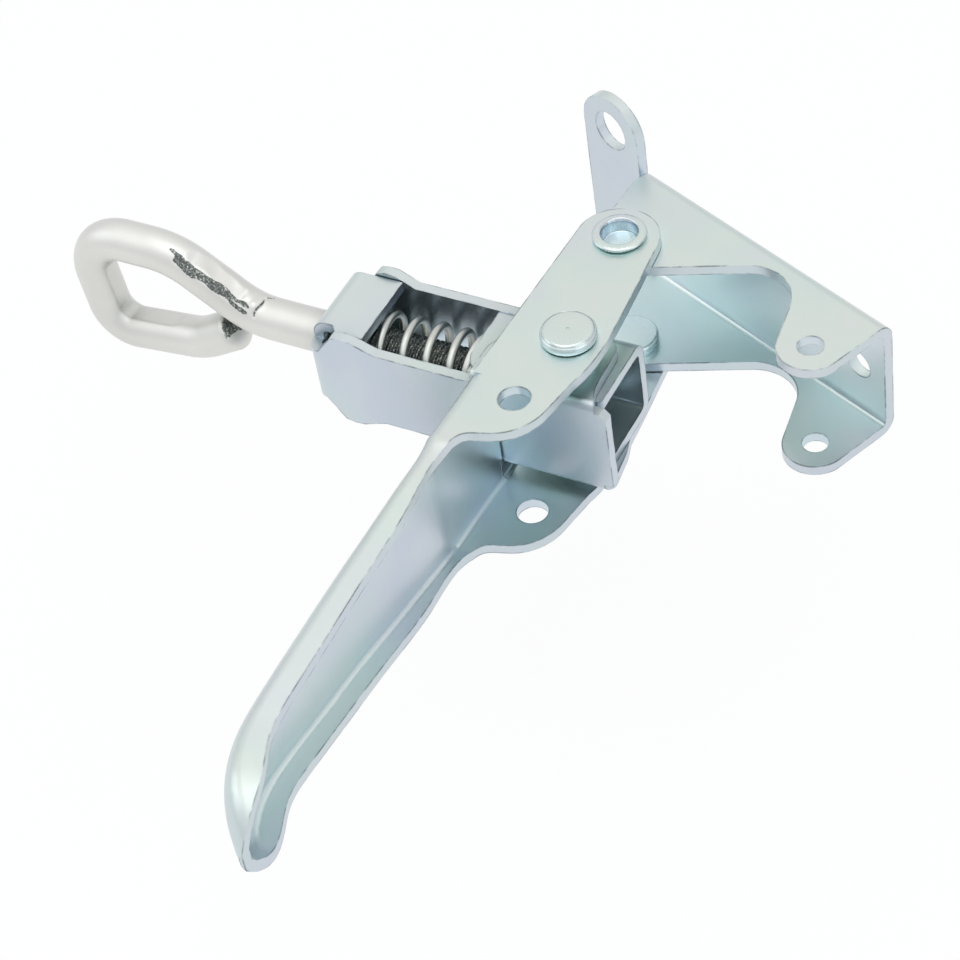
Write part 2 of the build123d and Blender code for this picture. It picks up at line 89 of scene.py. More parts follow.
# Factors on the plating colour
WHITE = (1.0, 1.0, 1.0)
# Painted light in the housing's deepest hollows
LIT = (1.22, 1.30, 1.28)
# Painted shade in a broken line beside sharp edges
EDGE_SHADE = (0.20, 0.24, 0.26)
# Painted shade in the rods' hollows and between the spring's coils
COIL_SHADE = (0.55, 0.58, 0.57)
STREAK_SHADE = 0.92
MOTTLE = [
    (0.30, (0.93, 0.94, 1.00)),
    (0.44, (0.98, 0.97, 1.00)),
    (0.52, (0.96, 1.00, 0.99)),
    (0.60, (1.00, 1.01, 0.99)),
    (0.70, (1.03, 1.00, 1.01)),
]

# How the finishes vary, and where worn plating starts
DULL_SPREAD = 0.08
RIVET_GLOSS = 0.08
FACE_COSINE = 0.995
EDGE_COSINE = 0.93
EDGE_BREAKS = (0.42, 0.60)
WORN_LEVELS = (0.92, 1.04)
WORN_GREY = (0.10, 0.11, 0.105)
WIRE_ROUGHNESS = 0.32
COIL_REACH = 8.0 * MM

# The eye bolt in the housing's frame: lengths in millimetres along the rod, angles round it.
# A run is its start, its end and the length over which it fades.
Flat = namedtuple("Flat", "start end depth angle fade")
ROD_START = 10.0
ROD_STEP = 0.25 * MM
ROD_COLUMNS = 80
EYE_CORNERS = [
    (99.1, 0.0), (122.2, 15.6), (152.9, 15.6), (149.4, -19.2), (119.2, -15.7), (105.4, -7.3),
]
EYE_BENDS = [22.0, 24.0, 13.5, 8.5, 20.0]
THREAD_RUN = (-1.0, 58.0, 2.0)
THREAD_FLANK = 1.35
THREAD_CREST = 0.2
THREAD_WEAR = 0.62
PRESSED = Flat(start=143.0, end=197.0, depth=0.6, angle=-pi / 2, fade=4.0)
FACET = Flat(start=92.0, end=113.0, depth=0.55, angle=radians(80.0), fade=2.5)
SCUFF = Flat(start=90.0, end=116.0, depth=0.22, angle=radians(48.0), fade=3.0)
FACET_SWAY = [(0.12, 0.31, 0.0), (0.05, 0.83, 1.0)]
CUT_END = 1.9
CUT_END_FADE = 0.5
CUT_END_WEAR = 0.7
DOME = 2.6 * MM
CHAMFER = 1.4 * MM
CHAMFER_SHARE = 0.78
GRAZING = 0.2
FAR = 1.0

# The scuffed strip on the throat: half widths and fades are angles
STRIP_RUN = (88.0, 116.0, 2.5)
STRIP_HALF = 0.24
STRIP_FADE = 0.16
STRIP_WEAR = 0.9
STRIP_SWAY = [(0.05, 0.33, 0.0), (0.025, 0.9, 0.8)]
STRIP_SWELL = [(0.04, 0.7, 0.0)]
SPLIT_RUN = (84.0, 98.0, 3.0)
SPLIT_HALF = 0.14
SPLIT_SHARE = 0.7
HOOK_RUN = (111.0, 118.0, 2.5)
HOOK_START = 114.0
HOOK_SLANT = 0.02
HOOK_HALF = 0.14
HOOK_FADE = 0.10
HOOK_WEAR = 0.75

# The torn burr beside the strip: runs are measured from its place along the rod
BURR_PLACE = 88.6
BURR_ANGLE = radians(66.0)
LUMP_LENGTH = 1.7
LUMP_WIDTH = 0.26
LUMP_HEIGHT = 0.55
GROOVE_AHEAD = 2.1
GROOVE_LEAN = 0.8
GROOVE_WAVE = 0.3
GROOVE_RATE = 7.0
GROOVE_LENGTH = 0.9
GROOVE_HALF = 0.62
GROOVE_FADE = 0.15
GROOVE_DEPTH = 0.35
TAIL_RUN = (-6.5, -1.8, 1.5)
TAIL_OFF = 0.55
TAIL_SLANT = 0.05
BEHIND_RUN = (1.2, 4.5, 1.2)
BEHIND_OFF = -0.12
MARK_HALF = 0.20
MARK_DEPTH = 0.15
GROOVE_WEAR, TAIL_WEAR, BEHIND_WEAR = 0.8, 0.62, 0.66

# The inner and outer end of the spring along the housing, in millimetres
SPRING_ENDS = (30.0, 69.7)

# The lever's web corners in the lever's frame, in millimetres
LEVER_OUT = 22.5
LEVER_IN = 19.5
WEB_BACK = -15.9
WEB_FRONT = -12.9
WEB_BEND = 4.5
WEB_BEND_IN = 1.5
BEND_POINTS = 9
CORNER_STATIONS = [50.4, 50.4, 50.7, 52.2, 52.9, 53.5, 54.0, 54.3, 54.55, 54.75, 56.2, 56.2]
CORNER_CHAMFER = 0.97
HOUSING_BEND_X = 52.2
HOUSING_BEND_Z = 13.5
HOUSING_BEND_CLEAR = 2.62

# The housing rivets' heads in millimetres: radius and height over the foot
HEAD_FOOT = 22.85
HEAD_COLUMNS = 96
HEAD_CREASE = radians(50.0)
HEAD_CROWN = [(0.0, 2.72), (0.22, 2.74), (0.36, 2.92), (3.0, 2.93), (5.9, 2.88), (6.55, 2.80)]
HEAD_GROOVES = [
    (6.72, 2.60), (6.80, 2.66), (7.02, 2.40), (7.08, 2.16), (7.16, 2.20), (7.36, 1.92),
    (7.40, 1.68), (7.46, 1.72), (7.53, 1.40),
]
HEAD_SIDE = [(7.53, 0.25), (7.30, 0.0), (0.0, 0.0)]

# The stage
FLOOR_REACH = 4.0
LENS_SENSOR = 36.0
FLOOR_TINT = (0.86, 0.87, 0.88)
FLOOR_GLOW = 0.86
SKY_LOW = (0.70, 0.72, 0.74)
SKY_HEIGHTS = (-0.2, 0.9)

# Each lamp's name, place from the object's middle, side, power and colour
LAMPS = [
    ("overhead_lamp", (0.15, -0.25, 1.3), 1.3, 4.0, (1.0, 1.0, 1.0)),
    ("left_lamp", (-0.9, -0.9, 0.7), 0.9, 1.6, (0.95, 0.97, 1.0)),
    ("right_lamp", (1.1, 0.1, 0.5), 0.8, 1.5, (0.95, 0.98, 1.0)),
]


class SheetSettings(bpy.types.PropertyGroup):
    """The zinc-plated folded sheets and rivets."""

    # Painted light: faces that look up or down get this paler tint in place of light from above
    flat: bpy.props.FloatVectorProperty(
        name="Upward tint", description="Plating colour of faces that look up or down",
        subtype="COLOR", size=3, min=0.0, max=1.0, default=(0.69, 0.745, 0.72),
    )
    # Painted shade: faces that look sideways get this darker, bluer tint
    side: bpy.props.FloatVectorProperty(
        name="Side tint", description="Plating colour of faces that look sideways",
        subtype="COLOR", size=3, min=0.0, max=1.0, default=(0.60, 0.66, 0.70),
    )
    # Painted shade: a teal tint in deep hollows
    hollow: bpy.props.FloatVectorProperty(
        name="Hollow tint", description="Factor on the plating colour in deep hollows",
        subtype="COLOR", size=3, min=0.0, max=2.0, default=(1.00, 1.09, 1.10),
    )
    # Painted light: a paler, bluer tint in shallow hollows
    shelter_painted_light: bpy.props.FloatVectorProperty(
        name="Shelter tint", description="Factor on the plating colour in shallow hollows",
        subtype="COLOR", size=3, min=0.0, max=2.0, default=(1.12, 1.17, 1.20),
    )
    shade: bpy.props.FloatVectorProperty(
        name="Shade tint", description="Factor on the housing's colour close under the lever",
        subtype="COLOR", size=3, min=0.0, max=2.0, default=(0.46, 0.51, 0.53),
    )
    hollow_reach: bpy.props.FloatProperty(
        name="Hollow reach", description="How near another face tints a hollow",
        unit="LENGTH", min=0.0, default=45.0 * MM,
    )
    shade_reach: bpy.props.FloatProperty(
        name="Shade reach", description="How near another face shades the housing",
        unit="LENGTH", min=0.0, default=40.0 * MM,
    )
    # Painted shade: the broken dark line beside cut edges
    edge_shade_width: bpy.props.FloatProperty(
        name="Edge scuff", description="Width of the broken dark line beside cut edges",
        unit="LENGTH", min=0.0, default=0.7 * MM,
    )
    roughness: bpy.props.FloatProperty(
        name="Roughness", description="How dull the plated sheet is",
        subtype="FACTOR", min=0.0, max=1.0, default=0.34,
    )
    edge: bpy.props.FloatProperty(
        name="Edge softening", description="Width of the rounding on cut edges",
        unit="LENGTH", min=0.0, default=0.35 * MM,
    )


class RodSettings(bpy.types.PropertyGroup):
    """The bent eye bolt."""

    colour: bpy.props.FloatVectorProperty(
        name="Colour", description="Plating colour of the rod",
        subtype="COLOR", size=3, min=0.0, max=1.0, default=(0.75, 0.75, 0.72),
    )
    roughness: bpy.props.FloatProperty(
        name="Roughness", description="How dull the rod is",
        subtype="FACTOR", min=0.0, max=1.0, default=0.46,
    )
    radius: bpy.props.FloatProperty(
        name="Radius", description="Radius of the rod", unit="LENGTH", min=0.0, default=6.0 * MM,
    )
    pitch: bpy.props.FloatProperty(
        name="Thread pitch", description="Advance of the thread in one turn",
        unit="LENGTH", min=0.0, default=1.75 * MM,
    )
    thread_depth: bpy.props.FloatProperty(
        name="Thread depth", description="Depth of the thread's groove",
        unit="LENGTH", min=0.0, default=0.9 * MM,
    )


class SpringSettings(bpy.types.PropertyGroup):
    """The compression spring."""

    colour: bpy.props.FloatVectorProperty(
        name="Colour", description="Plating colour of the wire",
        subtype="COLOR", size=3, min=0.0, max=1.0, default=(0.62, 0.63, 0.59),
    )


class StageSettings(bpy.types.PropertyGroup):
    """Camera and floor."""

    azimuth: bpy.props.FloatProperty(
        name="Azimuth", description="Direction the camera looks along, from +Y toward -X",
        subtype="ANGLE", default=radians(57.33),
    )
    elevation: bpy.props.FloatProperty(
        name="Elevation", description="How far the camera looks down",
        subtype="ANGLE", default=radians(45.85),
    )
    roll: bpy.props.FloatProperty(
        name="Roll", description="How far the camera leans",
        subtype="ANGLE", default=radians(10.13),
    )
    place: bpy.props.FloatVectorProperty(
        name="Camera place", description="Where the camera stands",
        subtype="XYZ", unit="LENGTH", size=3, default=(437.85 * MM, -364.97 * MM, 507.81 * MM),
    )
    lens: bpy.props.FloatProperty(
        name="Focal length", description="Lens on a 36 mm sensor", unit="CAMERA", default=103.32,
    )
    floor_drop: bpy.props.FloatProperty(
        name="Floor drop", description="Height of the object's lowest point over the floor",
        unit="LENGTH", default=90.0 * MM,
    )


def body_holding(node):
    """The name of the body that a node belongs to."""
    for body, nodes in frame["record"]["behaviour"]["bodies"].items():
        if node in nodes:
            return body
    raise ValueError("no body holds " + node)


def colour_out(node):
    """The socket that a node's colour comes out of."""
    for socket in node.outputs:
        if socket.name in ("Result", "Color") and socket.type == "RGBA":
            return socket
    raise ValueError("no colour comes out of " + node.name)


class Tree:
    """A node tree, with short ways to place its nodes and to join them."""

    def __init__(self, tree):
        self.nodes = tree.nodes
        self.links = tree.links
        self.nodes.clear()

    def add(self, kind, inputs=None):
        """A new node of a kind, with values set on some of its inputs."""
        node = self.nodes.new(kind)
        for socket, value in (inputs or {}).items():
            node.inputs[socket].default_value = value
        return node

    def join(self, source, source_socket, target, target_socket):
        """Links an output of one node to an input of another."""
        self.links.new(source.outputs[source_socket], target.inputs[target_socket])

    def feed(self, value, socket):
        """Sends a number, a colour, an output or a node's colour into an input."""
        if isinstance(value, bpy.types.NodeSocket):
            self.links.new(value, socket)
        elif isinstance(value, bpy.types.Node):
            self.links.new(colour_out(value), socket)
        elif isinstance(value, tuple):
            socket.default_value = (*value, 1.0)
        else:
            socket.default_value = value

    def maths(self, operation, first, second):
        """The outcome of a sum on two numbers or outputs."""
        node = self.add("ShaderNodeMath")
        node.operation = operation
        self.feed(first, node.inputs[0])
        self.feed(second, node.inputs[1])
        return node.outputs[0]

    def between(self, value, low, high):
        """0 where a value is at low, 1 where it is at high, and even between them."""
        node = self.add("ShaderNodeMapRange", {"From Min": low, "From Max": high})
        self.feed(value, node.inputs["Value"])
        return node.outputs["Result"]

    def spread(self, value, low, high):
        """A value that runs from 0 to 1, made to run from low to high."""
        node = self.add("ShaderNodeMapRange", {"To Min": low, "To Max": high})
        self.feed(value, node.inputs["Value"])
        return node.outputs["Result"]

    def ramp(self, value, stops):
        """A colour ramp over a value: stops are (position, colour)."""
        node = self.add("ShaderNodeValToRGB")
        while len(node.color_ramp.elements) < len(stops):
            node.color_ramp.elements.new(0.5)
        for element, (position, colour) in zip(node.color_ramp.elements, stops):
            element.position = position
            element.color = (*colour, 1.0)
        self.feed(value, node.inputs["Fac"])
        return node

    def mix(self, factor, first, second, way="MIX"):
        """Two colours mixed in a way, by a number or an output."""
        node = self.add("ShaderNodeMix")
        node.data_type = "RGBA"
        node.blend_type = way
        for value, socket in zip((factor, first, second), ("Factor", "A", "B")):
            self.feed(value, node.inputs[socket])
        return node

    def times(self, first, second):
        """The product of two colours."""
        return self.mix(1.0, first, second, "MULTIPLY")

    def shown(self, kind, share, first, second):
        """Sends two shaders, mixed by a share, to an output of a kind."""
        both = self.add("ShaderNodeMixShader")
        for value, socket in zip((share, first.outputs[0], second.outputs[0]), both.inputs):
            self.links.new(value, socket)
        self.join(both, "Shader", self.add(kind), "Surface")


class Shader(Tree):
    """A plated metal's node tree."""

    def __init__(self, name):
        self.material = bpy.data.materials.new(name)
        self.material.use_nodes = True
        super().__init__(self.material.node_tree)
        self.surface = self.add("ShaderNodeBsdfPrincipled", {"Metallic": 1.0})
        self.join(self.surface, "BSDF", self.add("ShaderNodeOutputMaterial"), "Surface")
        self.place = self.add("ShaderNodeTexCoord")

    def noise(self, scale, detail, roughness, stretch=None, turn=None):
        """A noise texture on object coordinates, turned and stretched where that is asked for."""
        settings = {"Scale": scale, "Detail": detail, "Roughness": roughness}
        node = self.add("ShaderNodeTexNoise", settings)
        if stretch is None:
            self.join(self.place, "Object", node, "Vector")
            return node
        mapping = self.add("ShaderNodeMapping", {"Scale": stretch, "Rotation": turn})
        self.join(self.place, "Object", mapping, "Vector")
        self.join(mapping, "Vector", node, "Vector")
        return node

    def top_light_share(self):
        """The share of painted top light: 1 where the surface looks straight up or down, 0 where it
        looks sideways.
        """
        split = self.add("ShaderNodeSeparateXYZ")
        self.join(self.place, "Normal", split, "Vector")
        return self.maths("POWER", split.outputs["Z"], 2.0)

    def hollow(self, reach, stops):
        """Paints light and shade by how open the surface is within a reach: 0 shut in, 1 in the open.
        """
        node = self.add("ShaderNodeAmbientOcclusion", {"Distance": reach})
        node.samples = 6
        return self.ramp(node.outputs["AO"], [*stops, (1.0, WHITE)])

    def painted_edge_shade(self, width, grain):
        """Painted edge shade: white on the faces and grey in a broken line beside sharp edges, where
        the
            normal that is rounded over the width leans away from the plain one."""
        rounded = self.add("ShaderNodeBevel", {"Radius": width})
        rounded.samples = 6
        plain = self.add("ShaderNodeNewGeometry")
        facing = self.add("ShaderNodeVectorMath")
        facing.operation = "DOT_PRODUCT"
        self.join(rounded, "Normal", facing, 0)
        self.join(plain, "Normal", facing, 1)
        near = self.between(facing.outputs["Value"], FACE_COSINE, EDGE_COSINE)
        broken = self.between(grain.outputs["Fac"], *EDGE_BREAKS)
        return self.mix(self.maths("MULTIPLY", near, broken), WHITE, EDGE_SHADE)

    def bump(self, source, depth, strength, under=None):
        """A relief of a noise's height, over an earlier relief."""
        node = self.add("ShaderNodeBump", {"Distance": depth, "Strength": strength})
        self.join(source, "Fac", node, "Height")
        if under is not None:
            self.join(under, "Normal", node, "Normal")
        return node

    def finish(self, tint, grain, roughness, relief):
        """Gives the surface its colour, its dullness round a roughness, and its relief."""
        self.feed(tint, self.surface.inputs["Base Color"])
        dull = self.spread(grain.outputs["Fac"], roughness - DULL_SPREAD, roughness + DULL_SPREAD)
        self.feed(dull, self.surface.inputs["Roughness"])
        self.join(relief, "Normal", self.surface, "Normal")
        return self.material


def zinc_sheet(name, values, turn, gloss=0.0, shaded=False):
    """Bright plated sheet with painted light and shade: paler where it looks up, bluer at its sides,
    painted teal shade in its deep hollows and painted light in shallow ones, and painted shade in a
    grey line beside its cut edges. A shaded one has painted shade where another sheet stands close
    over it, and painted light in its deepest hollows."""
    shader = Shader(name)
    clouds = shader.noise(scale=24.0, detail=3.0, roughness=0.55)
    # Painted light and shade by facing: the upward tint on faces that look up, the side tint on faces
    # that look sideways
    tint = shader.mix(shader.top_light_share(), tuple(values.side), tuple(values.flat))
    tint = shader.times(tint, shader.ramp(clouds.outputs["Fac"], MOTTLE))
    deep, shelter_painted_light, shade = tuple(values.hollow), tuple(values.shelter_painted_light), tuple(values.shade)
    # The housing gets painted light in its deepest hollows and painted shade close under the lever;
    # other sheets get painted teal shade in deep hollows and painted light in shallow ones
    if shaded:
        stops = [(0.10, LIT), (0.32, shelter_painted_light), (0.60, shade), (0.88, WHITE)]
        painted_hollow_shade = shader.hollow(values.shade_reach, stops)
    else:
        stops = [(0.06, deep), (0.42, shelter_painted_light), (0.82, WHITE)]
        painted_hollow_shade = shader.hollow(values.hollow_reach, stops)
    tint = shader.times(tint, painted_hollow_shade)
    # Painted shade in a grey line beside cut edges, broken up by a fine noise
    patches = shader.noise(scale=150.0, detail=3.0, roughness=0.6)
    tint = shader.times(tint, shader.painted_edge_shade(values.edge_shade_width, patches))
    rolled = (1.0, 14.0, 14.0)
    grain = shader.noise(scale=90.0, detail=5.0, roughness=0.6, stretch=rolled, turn=turn)
    dimples = shader.noise(scale=900.0, detail=2.0, roughness=0.5)
    fine = shader.bump(dimples, depth=0.010 * MM, strength=0.6)
    waves = shader.bump(clouds, depth=0.20 * MM, strength=0.25, under=fine)
    return shader.finish(tint, grain, values.roughness - gloss, waves)


def zinc_rod(name, colour, roughness, worn=None):
    """Plated bent rod: an even pale grey with mild streaks and painted shade in its hollows, dark and
    speckled where it is worn.
    The wear is an attribute of the piece, 0 to 1, whose border a fine noise makes ragged."""
    shader = Shader(name)
    clouds = shader.noise(scale=40.0, detail=3.0, roughness=0.5)
    streak = tuple(value * STREAK_SHADE for value in colour)
    tint = shader.ramp(clouds.outputs["Fac"], [(0.25, streak), (0.6, colour)])
    marks = shader.noise(scale=700.0, detail=4.0, roughness=0.65)
    if worn is not None:
        flecks = shader.noise(scale=1900.0, detail=3.0, roughness=0.6)
        speckle = shader.ramp(flecks.outputs["Fac"], [
            (0.44, WORN_GREY),
            (0.58, tuple(2.4 * value for value in WORN_GREY)),
            (0.66, tuple(0.9 * value for value in colour)),
        ])
        wear = shader.add("ShaderNodeAttribute")
        wear.attribute_name = worn
        ragged = shader.maths("ADD", wear.outputs["Fac"], marks.outputs["Fac"])
        tint = shader.mix(shader.between(ragged, *WORN_LEVELS), tint, speckle)
    # Painted shade in the rod's hollows and between the spring's coils
    tint = shader.times(tint, shader.hollow(COIL_REACH, [(0.15, COIL_SHADE)]))
    fine = shader.bump(marks, depth=0.02 * MM, strength=0.5)
    return shader.finish(tint, marks, roughness, fine)


def add_object(name, mesh):
    """A new object in the scene, at the origin."""
    piece = bpy.data.objects.new(name, mesh)
    bpy.context.scene.collection.objects.link(piece)
    return piece


def merged_copy(node, name):
    """A copy of a CAD node as one closed mesh: its loose triangles are merged and flat areas joined."""
    mesh = frame["nodes"][node].data.copy()
    mesh.name = name
    shape = bmesh.new()
    shape.from_mesh(mesh)
    bmesh.ops.remove_doubles(shape, verts=shape.verts, dist=MERGE_REACH)
    bmesh.ops.dissolve_limit(
        shape, angle_limit=FLAT_ANGLE, verts=shape.verts, edges=shape.edges,
        use_dissolve_boundaries=False,
    )
    shape.to_mesh(mesh)
    shape.free()
    mesh.materials.clear()
    return add_object(name, mesh)


def apply_modifiers(piece):
    """Puts the outcome of a piece's modifiers into its mesh."""
    depsgraph = bpy.context.evaluated_depsgraph_get()
    finished = bpy.data.meshes.new_from_object(piece.evaluated_get(depsgraph))
    piece.modifiers.clear()
    piece.data = finished


def soften(piece, width, angle):
    """Rounds the cut edges of a piece and shades the rest smooth, with its flat faces even."""
    bevel = piece.modifiers.new("cut_edges", "BEVEL")
    bevel.width = width
    bevel.segments = 2
    bevel.limit_method = "ANGLE"
    bevel.angle_limit = angle
    bevel.harden_normals = False
    bevel.miter_outer = "MITER_ARC"
    apply_modifiers(piece)
    smooth(piece.data)
    piece.data.set_sharp_from_angle(angle=CREASE_ANGLE)
    even = piece.modifiers.new("flat_faces_stay_flat", "WEIGHTED_NORMAL")
    even.keep_sharp = True
    apply_modifiers(piece)


def smooth(mesh):
    """Shades every face of a mesh smooth."""
    mesh.polygons.foreach_set("use_smooth", np.ones(len(mesh.polygons), bool))


def stand_in(node, material, edge, angle=CUT_EDGE_ANGLE):
    """A softened copy that is shown for a CAD node, with a finish."""
    piece = merged_copy(node, node + "_finish")
    soften(piece, edge, angle)
    piece.data.materials.append(material)
    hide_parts(node)
    return piece


def dress(node, material, edge, angle=CUT_EDGE_ANGLE):
    """Puts a stand-in over a CAD node and lets it move with the node's body."""
    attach(stand_in(node, material, edge, angle), body_holding(node))


def fit_to(node, piece, material):
    """Gives a new piece a finish, and the body of a CAD node."""
    piece.data.materials.append(material)
    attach(piece, body_holding(node))


def ring_piece(name, rings, layers):
    """A closed skin over rings of points (rings x points x 3); its end rings are single points."""
    rows, columns = rings.shape[:2]
    index = np.arange(rows * columns).reshape(rows, columns)
    beside = np.roll(index, -1, axis=1)
    faces = np.stack([index[:-1], beside[:-1], beside[1:], index[1:]], axis=-1).reshape(-1, 4)
    mesh = bpy.data.meshes.new(name)
    mesh.from_pydata(rings.reshape(-1, 3), [], faces.tolist())
    for key, value in layers.items():
        layer = mesh.attributes.new(key, "FLOAT", "POINT")
        layer.data.foreach_set("value", value.reshape(-1).astype(np.float32))
    shape = bmesh.new()
    shape.from_mesh(mesh)
    bmesh.ops.remove_doubles(shape, verts=shape.verts, dist=MERGE_REACH)
    bmesh.ops.recalc_face_normals(shape, faces=shape.faces)
    shape.to_mesh(mesh)
    shape.free()
    smooth(mesh)
    return add_object(name, mesh)


def rounded_line(corners, radii, step):
    """Points and directions along straight runs whose corners are turned with radii. A turn starts
    radius times the tangent of half its angle before the corner, and is an arc by sine and cosine."""
    corners = [np.array(corner) for corner in corners]
    turns = []
    for before, corner, after, radius in zip(corners, corners[1:], corners[2:], radii):
        way_in = (corner - before) / np.linalg.norm(corner - before)
        way_out = (after - corner) / np.linalg.norm(after - corner)
        across = way_in[0] * way_out[1] - way_in[1] * way_out[0]
        swing = np.arctan2(across, way_in @ way_out)
        reach = radius * np.tan(abs(swing) / 2)
        turns.append((corner - way_in * reach, way_in, swing, radius))
    place = corners[0]
    path, ways = [], []
    for start, way, swing, radius in turns:
        run = np.linalg.norm(start - place)
        along = np.linspace(0.0, 1.0, max(2, int(run / step)), endpoint=False)[:, None]
        path.append(place + along * (start - place))
        ways.append(np.repeat(way[None], len(along), axis=0))
        count = max(3, int(abs(swing) * radius / step))
        size = np.abs(np.linspace(0.0, swing, count, endpoint=False))[:, None]
        normal = np.array([-way[1], way[0]]) * np.sign(swing)
        middle = start + normal * radius
        path.append(middle - normal * radius * np.cos(size) + way * radius * np.sin(size))
        ways.append(way * np.cos(size) + normal * np.sin(size))
        place = middle - normal * radius * cos(swing) + way * radius * sin(abs(swing))
    run = np.linalg.norm(corners[-1] - place)
    way = (corners[-1] - place) / run
    along = np.linspace(0.0, 1.0, max(2, int(run / step)))[:, None]
    path.append(place + along * (corners[-1] - place))
    ways.append(np.repeat(way[None], len(along), axis=0))
    return np.concatenate(path), np.concatenate(ways)


def smooth_window(value, low, high, fade):
    """1 between low and high and 0 outside them, with S-shaped ends of a width inside."""
    rise = np.clip((value - low) / fade, 0.0, 1.0)
    fall = np.clip((high - value) / fade, 0.0, 1.0)
    both = rise * fall
    return both * both * (3.0 - 2.0 * both)


def stripe(off, half_width):
    """1 on a line and evenly less beside it, down to 0 at a half width."""
    return np.clip(1.0 - np.abs(off) / half_width, 0.0, 1.0)


def sway(along_mm, waves):
    """The sum of sine waves along the rod: each has a size, radians in a millimetre and a phase."""
    return sum(size * np.sin(along_mm * rate + phase) for size, rate, phase in waves)


def angle_from(around, middle):
    """How far an angle is from a middle one, either way round."""
    return (around - middle + pi) % (2.0 * pi) - pi


def housing_to_frame(along, out, height):
    """Points of the spring housing's own frame put where they are on the open fastener."""
    x = HOUSING_CENTRE[0] + along * cos(HOUSING_TURN) - out * sin(HOUSING_TURN)
    y = HOUSING_CENTRE[1] + along * sin(HOUSING_TURN) + out * cos(HOUSING_TURN)
    return np.stack(np.broadcast_arrays(x, y, height), axis=-1)


def eye_bolt_rings(radius, pitch, depth):
    """The rod's skin and its wear. The skin is a circle of the rod's radius carried along the bent
    centre line; the thread takes a V groove that winds with the length; pressed flats cut the
    circle by a chord; both ends close to a point."""
    corners = [(a * MM, b * MM) for a, b in [(ROD_START, 0.0), *EYE_CORNERS]]
    centres, ways = rounded_line(corners, [bend * MM for bend in EYE_BENDS], ROD_STEP)
    steps = np.linalg.norm(np.diff(centres, axis=0), axis=1)
    lengths = np.concatenate([[0.0], np.cumsum(steps)])
    around = np.linspace(0.0, 2.0 * pi, ROD_COLUMNS, endpoint=False)[None, :]
    length = lengths[:, None]
    along_mm = length / MM
    threaded = smooth_window(along_mm, *THREAD_RUN)
    size = radius - thread_groove(length, around, pitch, depth) * threaded
    size = flattened(size, radius, along_mm, around, PRESSED)
    size = flattened(size, radius, along_mm, around, FACET, sway(along_mm, FACET_SWAY))
    size = flattened(size, radius, along_mm, around, SCUFF)
    burr, burr_wear = burr_marks(along_mm, around)
    size = size + burr * MM
    size = size * end_rounding(length, lengths[-1])
    rise = size * np.sin(around)
    along = centres[:, 0:1] - ways[:, 1:2] * rise
    height = centres[:, 1:2] + ways[:, 0:1] * rise
    rings = housing_to_frame(along, size * np.cos(around), height)
    start = housing_to_frame(centres[0, 0], 0.0, centres[0, 1])
    first = np.broadcast_to(start, (1, around.size, 3))
    wear = np.maximum.reduce(np.broadcast_arrays(
        scuff_band(along_mm, around),
        THREAD_WEAR * threaded,
        burr_wear,
        cut_end_wear(lengths[-1] / MM - along_mm, around),
    ))
    return np.concatenate([first, rings]), np.concatenate([wear[:1], wear])


def thread_groove(length, around, pitch, depth):
    """A V groove that climbs one pitch in a turn, with a flat crest and a flat root."""
    turned = (length / pitch + around / (2.0 * pi)) % 1.0
    flank = np.abs(2.0 * turned - 1.0)
    return depth * np.clip(THREAD_FLANK * flank - THREAD_CREST, 0.0, 1.0)


def flattened(size, radius, along_mm, around, flat, turn=0.0):
    """The radius cut over a run of lengths by a chord that faces an angle."""
    cut = smooth_window(along_mm, flat.start, flat.end, flat.fade) * flat.depth * MM
    return np.minimum(size, chord(radius - cut, around, flat.angle + turn))


def chord(reach, around, middle):
    """The distance from the centre to a line that stands at a reach, in each direction."""
    facing = np.cos(around - middle)
    return np.where(facing > GRAZING, reach / np.maximum(facing, GRAZING), FAR)


def scuff_band(along_mm, around):
    """The dark scuffed strip on the throat. Its middle and its half width wave along the rod, and it
    fades beside that; a stripe parts it in two at its near end, and a slanting hook ends it."""
    off = angle_from(around, SCUFF.angle + sway(along_mm, STRIP_SWAY))
    half = STRIP_HALF + sway(along_mm, STRIP_SWELL)
    strip = np.clip((half - np.abs(off)) / STRIP_FADE + 0.40, 0.0, STRIP_WEAR)
    strip = strip * smooth_window(along_mm, *STRIP_RUN)
    split = smooth_window(along_mm, *SPLIT_RUN) * stripe(off, SPLIT_HALF)
    slant = STRIP_HALF + HOOK_SLANT * (along_mm - HOOK_START)
    hook_off = np.abs(angle_from(around, SCUFF.angle + slant))
    hook = np.clip((HOOK_HALF - hook_off) / HOOK_FADE, 0.0, HOOK_WEAR)
    hook = hook * smooth_window(along_mm, *HOOK_RUN)
    return np.maximum(strip * (1.0 - SPLIT_SHARE * split), hook)


